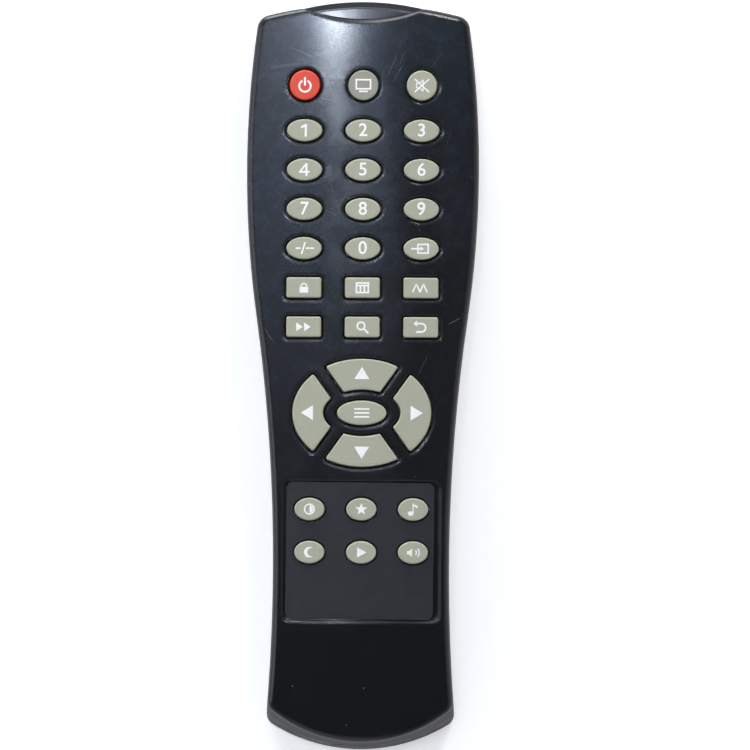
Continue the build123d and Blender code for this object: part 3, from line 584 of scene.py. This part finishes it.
def drawWebs():
    node = frame["nodes"]["key_webs"]
    shape = bmesh.new()
    shape.from_mesh(node.data)
    shape.transform(node.matrix_world)
    bmesh.ops.remove_doubles(shape, verts=shape.verts, dist=weldReach)
    jointNames = [joint["name"] for joint in frame["joints"]]
    keyNames = [name.removesuffix("_press") for name in jointNames if name.endswith("_press")]
    centres = {name: Vector(keyCentre(name)) for name in keyNames}
    parts = {name: set() for name in keyNames}
    for island in findIslands(shape):
        middle = sum((vertex.co for vertex in island), Vector()) / len(island)
        nearest = min(keyNames, key=lambda name: (centres[name] - middle.xy).length)
        parts[nearest] |= island
    for name, island in parts.items():
        order = {vertex: number for number, vertex in enumerate(island)}
        faces = {face for vertex in island for face in vertex.link_faces}
        mesh = bpy.data.meshes.new("web_" + name)
        mesh.from_pydata(
            [tuple(vertex.co) for vertex in order], [],
            [[order[vertex] for vertex in face.verts] for face in faces],
        )
        mesh.materials.append(materials["mat_rubber"])
        web = bpy.data.objects.new("web_" + name, mesh)
        bpy.context.collection.objects.link(web)
        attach(web, "housing")
        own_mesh(web)
        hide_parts("key_webs")
    shape.free()


# Legends: thin closed solids of white ink that follow the crowned key tops. Strokes, digits and
# outlines are in millimetres

ink = {
    "proud": 0.03 * mm, "depth": 0.08 * mm, "stroke": 0.42,
    "digitHeight": 4.6, "digitBold": 0.055, "digitCurveSteps": 6,
}


def crownHeight(x, y):
    # The key tops are the crown lifted, a hoop across that follows a wide arc along.
    arc = math.sqrt((crown["longRadius"] + crown["keyLift"]) ** 2 - y * y)
    hoop = crown["crossRadius"] - crown["longRadius"] + arc
    return crown["top"] - crown["crossRadius"] + math.sqrt(hoop * hoop - x * x)


def stroke(x0, y0, x1, y1, width=None):
    width = width or ink["stroke"]
    along = Vector((x1 - x0, y1 - y0)).normalized() * width / 2
    side = Vector((-along.y, along.x))
    ends = (Vector((x0, y0)) - along, Vector((x1, y1)) + along)
    return [tuple(ends[0] - side), tuple(ends[1] - side), tuple(ends[1] + side), tuple(ends[0] + side)]


def arcPoints(x, y, radius, start, end, steps=20, squeeze=1.0):
    turns = [math.radians(start + (end - start) * step / steps) for step in range(steps + 1)]
    return [(x + radius * squeeze * math.cos(turn), y + radius * math.sin(turn)) for turn in turns]


def band(x, y, radius, start, end, width=None, steps=20):
    width = width or ink["stroke"]
    outer = arcPoints(x, y, radius + width / 2, start, end, steps)
    inner = arcPoints(x, y, radius - width / 2, end, start, steps)
    return outer + inner


def ring(x, y, radius, width=None):
    return [band(x, y, radius, 0, 180, width), band(x, y, radius, 180, 360, width)]


def disc(x, y, radius, squeeze=1.0, corners=24):
    return arcPoints(x, y, radius, 0, 360 - 360 / corners, corners - 1, squeeze)


frameCorner = 0.4  # how far a frame's uprights stay clear of its bars


def frameOf(width, height, x=0.0, y=0.0):
    left, right, low, high = x - width / 2, x + width / 2, y - height / 2, y + height / 2
    foot, head = low + frameCorner, high - frameCorner
    return [
        stroke(left, low, right, low), stroke(left, high, right, high),
        stroke(left, foot, left, head), stroke(right, foot, right, head),
    ]


star = {"tips": 5, "waist": 0.42}


def starPoints(radius):
    points = []
    for step in range(2 * star["tips"]):
        reach = radius if step % 2 == 0 else radius * star["waist"]
        turn = math.radians(90 + 180 / star["tips"] * step)
        points.append((reach * math.cos(turn), reach * math.sin(turn)))
    return points


speaker = [(-1.5, -0.44), (-0.94, -0.44), (-0.22, -1.08), (-0.22, 1.08), (-0.94, 0.44), (-1.5, 0.44)]
digitOne = [(0.0, -1.6), (0.56, -1.6), (0.56, 1.6), (0.12, 1.6), (-0.95, 0.95), (-0.95, 0.4), (0.0, 0.85)]
digitFour = [
    stroke(0.5, -1.4, 0.5, 1.35, 0.52), stroke(-1.1, -0.6, 1.05, -0.6, 0.48),
    stroke(-1.1, -0.5, 0.35, 1.35, 0.46),
]
crescent = arcPoints(0, 0, 1.35, 50, 310, 24) + arcPoints(0.55, 0, 1.05, 285, 75, 20)

symbols = {
    "power_key": [band(0, -0.25, 1.45, 115, 425, 0.5, 30), stroke(0, 0.1, 0, 1.75, 0.5)],
    "display_key": frameOf(3.6, 2.3, 0, 0.25) + [stroke(-0.9, -1.55, 0.9, -1.55)],
    "mute_key": [
        stroke(-1.35, -0.5, -1.35, 0.5, 0.28), stroke(-1.3, 0.6, -0.6, 0.6, 0.28),
        stroke(-1.3, -0.6, -0.6, -0.6, 0.28), stroke(-0.5, 0.7, 0.15, 1.3, 0.28),
        stroke(-0.5, -0.7, 0.15, -1.3, 0.28), stroke(0.3, -1.35, 0.3, 1.35, 0.28),
        stroke(-1.7, -1.55, 1.7, 1.55, 0.36), stroke(-1.7, 1.55, 1.7, -1.55, 0.36),
    ],
    "digits_key": [
        stroke(-1.9, 0.0, -1.1, 0.0), stroke(-0.6, -1.3, 0.2, 1.3), stroke(0.65, 0.0, 1.25, 0.0),
        stroke(1.75, 0.0, 2.35, 0.0),
    ],
    "source_key": frameOf(2.6, 2.2, 0.5, 0) + [
        stroke(-2.3, 0, -0.1, 0), [(-0.2, -0.65), (0.75, 0), (-0.2, 0.65)],
    ],
    "lock_key": [
        [(-1.1, -1.3), (1.1, -1.3), (1.1, 0.2), (-1.1, 0.2)], band(0, 0.25, 0.75, 0, 180, 0.35),
    ],
    "calendar_key": frameOf(3.0, 2.4) + [
        stroke(-1.1, 0.55, 1.1, 0.55), stroke(-0.5, -0.9, -0.5, 0.3), stroke(0.5, -0.9, 0.5, 0.3),
    ],
    "wave_key": [
        stroke(-2.0, -0.9, -1.2, 0.9), stroke(-1.1, 0.9, -0.3, -0.9), stroke(-0.2, -0.9, 0.6, 0.9),
        stroke(0.7, 0.9, 1.5, -0.9),
    ],
    "scan_key": [
        [(-1.9, -1.1), (-0.2, 0), (-1.9, 1.1)], [(0.1, -1.1), (1.8, 0), (0.1, 1.1)],
    ],
    "zoom_key": ring(-0.3, 0.3, 0.95) + [stroke(0.5, -0.5, 1.4, -1.4, 0.5)],
    "recall_key": [
        band(0.2, -0.1, 1.05, -90, 90), stroke(0.1, 0.95, -1.1, 0.95),
        stroke(0.1, -1.15, -1.0, -1.15), [(-0.9, 0.2), (-0.9, 1.7), (-1.9, 0.95)],
    ],
    "menu_key": [stroke(-1.7, level, 1.7, level) for level in (1.0, 0.0, -1.0)],
    "picture_key": ring(0, 0, 1.25, 0.35) + [arcPoints(0, 0, 1.0, -90, 90, 14)],
    "favourite_key": [starPoints(1.6)],
    "sound_key": [
        disc(-0.6, -1.0, 0.6, 1.25), stroke(0.0, -0.9, 0.0, 1.4, 0.3),
        [(-0.1, 1.5), (1.2, 0.9), (1.2, 0.3), (-0.1, 0.9)],
    ],
    "sleep_key": [crescent],
    "demo_key": [[(-1.0, -1.3), (1.4, 0), (-1.0, 1.3)]],
    "listen_key": [speaker, band(0.0, 0, 0.9, -40, 40, 0.32, 8), band(0.0, 0, 1.6, -40, 40, 0.32, 10)],
    "key_1": [digitOne],
    "key_4": digitFour,
}
arrow = {
    "half": 1.9, "height": 3.1, "reachY": 10.1, "reachX": 13.9,
    "turns": {"up_key": 0, "left_key": 90, "down_key": 180, "right_key": 270},
}


def finishInk(shape, name, node):
    shape.normal_update()
    mesh = bpy.data.meshes.new(name)
    bmesh.ops.recalc_face_normals(shape, faces=shape.faces)
    shape.to_mesh(mesh)
    shape.free()
    piece = bpy.data.objects.new(name, mesh)
    bpy.context.collection.objects.link(piece)
    mesh.materials.append(materials["legend_ink"])
    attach(piece, node)


def drawSymbol(node, outlines, x, y):
    shape = bmesh.new()
    for outline in outlines:
        places = [(x + px * mm, y + py * mm) for px, py in outline]
        top = [shape.verts.new((px, py, crownHeight(px, py) + ink["proud"])) for px, py in places]
        under = [shape.verts.new((px, py, crownHeight(px, py) - ink["depth"])) for px, py in places]
        shape.faces.new(top)
        shape.faces.new(list(reversed(under)))
        for number in range(len(places)):
            after = (number + 1) % len(places)
            shape.faces.new((top[number], under[number], under[after], top[after]))
    finishInk(shape, "legend_" + node, node)


def drawText(node, text, x, y):
    curve = bpy.data.curves.new("glyph", "FONT")
    curve.body = text
    curve.size = ink["digitHeight"] * mm
    curve.align_x = "CENTER"
    curve.align_y = "CENTER"
    curve.offset = ink["digitBold"] * mm
    curve.extrude = (ink["proud"] + ink["depth"]) / 2
    curve.resolution_u = ink["digitCurveSteps"]
    holder = bpy.data.objects.new("glyph", curve)
    mesh = bpy.data.meshes.new_from_object(holder)
    shape = bmesh.new()
    shape.from_mesh(mesh)
    bmesh.ops.remove_doubles(shape, verts=shape.verts, dist=weldReach)
    for vertex in shape.verts:
        px, py = vertex.co.x + x, vertex.co.y + y
        level = ink["proud"] if vertex.co.z > 0 else -ink["depth"]
        vertex.co = (px, py, crownHeight(px, py) + level)
    bpy.data.objects.remove(holder)
    bpy.data.curves.remove(curve)
    bpy.data.meshes.remove(mesh)
    finishInk(shape, "legend_" + node, node)


def drawArrows():
    padX, padY = keyCentre("menu_key")
    half, low = arrow["half"], -arrow["height"] / 2
    triangle = ((-half, low), (half, low), (0, -low))
    for node, degrees in arrow["turns"].items():
        sine, cosine = math.sin(math.radians(degrees)), math.cos(math.radians(degrees))
        turned = [(px * cosine - py * sine, px * sine + py * cosine) for px, py in triangle]
        drawSymbol(node, [turned], padX - sine * arrow["reachX"] * mm, padY + cosine * arrow["reachY"] * mm)


drawWebs()
print("webs drawn")
for node, outlines in symbols.items():
    drawSymbol(node, outlines, *keyCentre(node))
for digit in "02356789":
    drawText("key_" + digit, digit, *keyCentre("key_" + digit))
drawArrows()
print("legends drawn")


# Floor, light and camera

pureWhite = (1.0, 1.0, 1.0, 1.0)
floor = {
    "half": 4.0, "color": srgb(246, 246, 246), "speckle": srgb(240, 240, 240), "speckleScale": 3.0,
    "rough": 0.85, "shine": 0.1, "lift": 0.42, "below": 0.05 * mm,
}


def makeFloor():
    material, tree, shader = startMaterial("paleFloor")
    mask = useGroup(tree, "smudges", "Mask", Scale=floor["speckleScale"])
    tree.links.new(mixColors(tree, mask, floor["color"], floor["speckle"]), shader.inputs["Base Color"])
    shader.inputs["Roughness"].default_value = floor["rough"]
    shader.inputs["Specular IOR Level"].default_value = floor["shine"]
    shader.inputs["Emission Color"].default_value = pureWhite
    rays = addNode(tree, "ShaderNodeLightPath").outputs
    seen = strongest(tree, [rays["Is Camera Ray"], rays["Is Glossy Ray"], rays["Is Transmission Ray"]])
    tree.links.new(addMath(tree, "MULTIPLY", seen, floor["lift"]), shader.inputs["Emission Strength"])
    # Seen from below the floor is clear, so that the underside can be looked at.
    behind = addNode(tree, "ShaderNodeNewGeometry").outputs["Backfacing"]
    clear = addNode(tree, "ShaderNodeBsdfTransparent").outputs[0]
    both = addNode(tree, "ShaderNodeMixShader", {0: behind, 1: shader.outputs[0], 2: clear}).outputs[0]
    tree.links.new(both, tree.nodes["Material Output"].inputs["Surface"])
    mesh = bpy.data.meshes.new("floor")
    half = floor["half"]
    low = -floor["below"]
    corners = [(-half, -half, low), (half, -half, low), (half, half, low), (-half, half, low)]
    mesh.from_pydata(corners, [], [(0, 1, 2, 3)])
    mesh.materials.append(material)
    plane = bpy.data.objects.new("floor", mesh)
    bpy.context.collection.objects.link(plane)


lamps = {
    "headLamp": dict(place=(0.35, 0.95, 0.95), size=0.22, power=5.2, color=(1.0, 0.99, 0.97)),
    "leftLamp": dict(place=(-1.0, 0.1, 0.8), size=0.7, power=2.4, color=(0.96, 0.98, 1.0)),
    "rightLamp": dict(place=(1.05, -0.3, 0.8), size=1.0, power=1.1, color=(0.98, 0.99, 1.0)),
    "footLamp": dict(place=(-0.2, -1.0, 0.85), size=0.8, power=0.9, color=(1.0, 1.0, 1.0)),
}
# The sky is set out by lean: how far a direction leans from straight up, as run over rise
sky = {
    "horizon": (0.42, 0.425, 0.435, 1.0),
    "overhead": (0.015, 0.016, 0.018, 1.0),
    "rim": (0.03, 0.16),
    "darkening": (0.45, 0.92),
    "leastRise": 0.05,
    "upper": dict(fade=(-0.1, 0.0), color=(0.1, 0.1, 0.105)),
    "broad": dict(
        leftX=(-0.55, -0.33), rightX=(0.01, 0.13), lowY=(-0.07, 0.09), highY=(0.25, 0.5),
        color=(0.48, 0.6, 0.86),
    ),
    "glows": (
        dict(place=(-0.074, 0.174), spread=(0.034, 0.02), color=(88.0, 96.0, 106.0)),
        dict(place=(-0.085, 0.185), spread=(0.085, 0.044), color=(6.4, 8.0, 11.0)),
        dict(place=(-0.2, 0.2), spread=(0.16, 0.07), color=(2.2, 2.5, 3.0)),
        dict(place=(0.2, 0.19), spread=(0.12, 0.06), color=(0.4, 0.65, 1.0)),
        dict(place=(-0.1, 0.5), spread=(0.3, 0.12), color=(2.4, 2.5, 2.8)),
    ),
    "low": dict(toward=(-0.3, 0.95, 0.1), inner=0.05, outer=0.42, color=(13.0, 13.4, 14.0)),
}


def makeLamps():
    for name, values in lamps.items():
        light = bpy.data.lights.new(name, "AREA")
        light.size = values["size"]
        light.energy = values["power"]
        light.color = values["color"]
        lamp = bpy.data.objects.new(name, light)
        lamp.location = values["place"]
        lamp.rotation_euler = (-Vector(values["place"])).to_track_quat("-Z", "Y").to_euler()
        bpy.context.collection.objects.link(lamp)


def addLight(tree, color, strength, glow):
    return addVector(tree, "ADD", color, addScaled(tree, glow, strength))


def addPatch(tree, color, leanX, leanY, broad):
    fadesX = (smoothBand(tree, leanX, *broad["leftX"]), smoothBand(tree, leanX, *broad["rightX"], 1.0, 0.0))
    fadesY = (smoothBand(tree, leanY, *broad["lowY"]), smoothBand(tree, leanY, *broad["highY"], 1.0, 0.0))
    patch = addMath(
        tree, "MULTIPLY", addMath(tree, "MULTIPLY", *fadesX), addMath(tree, "MULTIPLY", *fadesY),
    )
    return addLight(tree, color, patch, broad["color"])


def addGlow(tree, color, leanX, leanY, glow):
    away = []
    for lean, place, spread in zip((leanX, leanY), glow["place"], glow["spread"]):
        away.append(addMath(tree, "DIVIDE", addMath(tree, "SUBTRACT", lean, place), spread))
    squares = addMath(tree, "MULTIPLY_ADD", away[0], away[0], addMath(tree, "MULTIPLY", away[1], away[1]))
    spot = addMath(tree, "EXPONENT", addMath(tree, "MULTIPLY", squares, -1.0))
    return addLight(tree, color, spot, glow["color"])


def makeSky():
    # A pale room with a dark ceiling and a soft window that mirrors in the head of the case.
    world = bpy.data.worlds.new("softRoom")
    bpy.context.scene.world = world
    world.use_nodes = True
    tree = world.node_tree
    direction = addNode(tree, "ShaderNodeTexCoord").outputs["Generated"]
    unit = addVector(tree, "NORMALIZE", direction)
    apart = addNode(tree, "ShaderNodeSeparateXYZ", {0: unit}).outputs
    darkening = smoothBand(tree, apart[2], *sky["darkening"])
    color = mixColors(tree, darkening, sky["horizon"], sky["overhead"])
    color = mixColors(tree, smoothBand(tree, apart[2], *sky["rim"]), pureWhite, color)
    rise = addMath(tree, "MAXIMUM", apart[2], sky["leastRise"])
    leanX = addMath(tree, "DIVIDE", apart[0], rise)
    leanY = addMath(tree, "DIVIDE", apart[1], rise)
    upper, low = sky["upper"], sky["low"]
    color = addLight(tree, color, smoothBand(tree, leanY, *upper["fade"]), upper["color"])
    color = addPatch(tree, color, leanX, leanY, sky["broad"])
    for glow in sky["glows"]:
        color = addGlow(tree, color, leanX, leanY, glow)
    toward = Vector(low["toward"]).normalized()
    closeness = addNode(
        tree, "ShaderNodeVectorMath", {0: unit, 1: toward}, operation="DOT_PRODUCT",
    ).outputs["Value"]
    strip = smoothBand(tree, closeness, math.cos(low["outer"]), math.cos(low["inner"]))
    color = addLight(tree, color, strip, low["color"])
    tree.links.new(color, tree.nodes["Background"].inputs["Color"])


view = {
    "centre": (3.3 * mm, 0.25 * mm), "level": 19.0 * mm, "distance": 3.4, "frameHeight": 190.0 * mm,
    "turn": math.radians(0.29), "sensor": 36.0, "near": 0.1, "far": 50.0,
}


def makeCamera():
    lens = bpy.data.cameras.new("longLens")
    lens.sensor_width = view["sensor"]
    lens.lens = view["sensor"] * view["distance"] / view["frameHeight"]
    lens.clip_start = view["near"]
    lens.clip_end = view["far"]
    camera = bpy.data.objects.new("longLens", lens)
    camera.location = (*view["centre"], view["level"] + view["distance"])
    camera.rotation_euler = (0, 0, view["turn"])
    bpy.context.collection.objects.link(camera)
    bpy.context.scene.camera = camera


makeFloor()
makeLamps()
makeSky()
makeCamera()
bpy.context.scene.view_settings.view_transform = "Standard"
print("floor, light and camera placed")
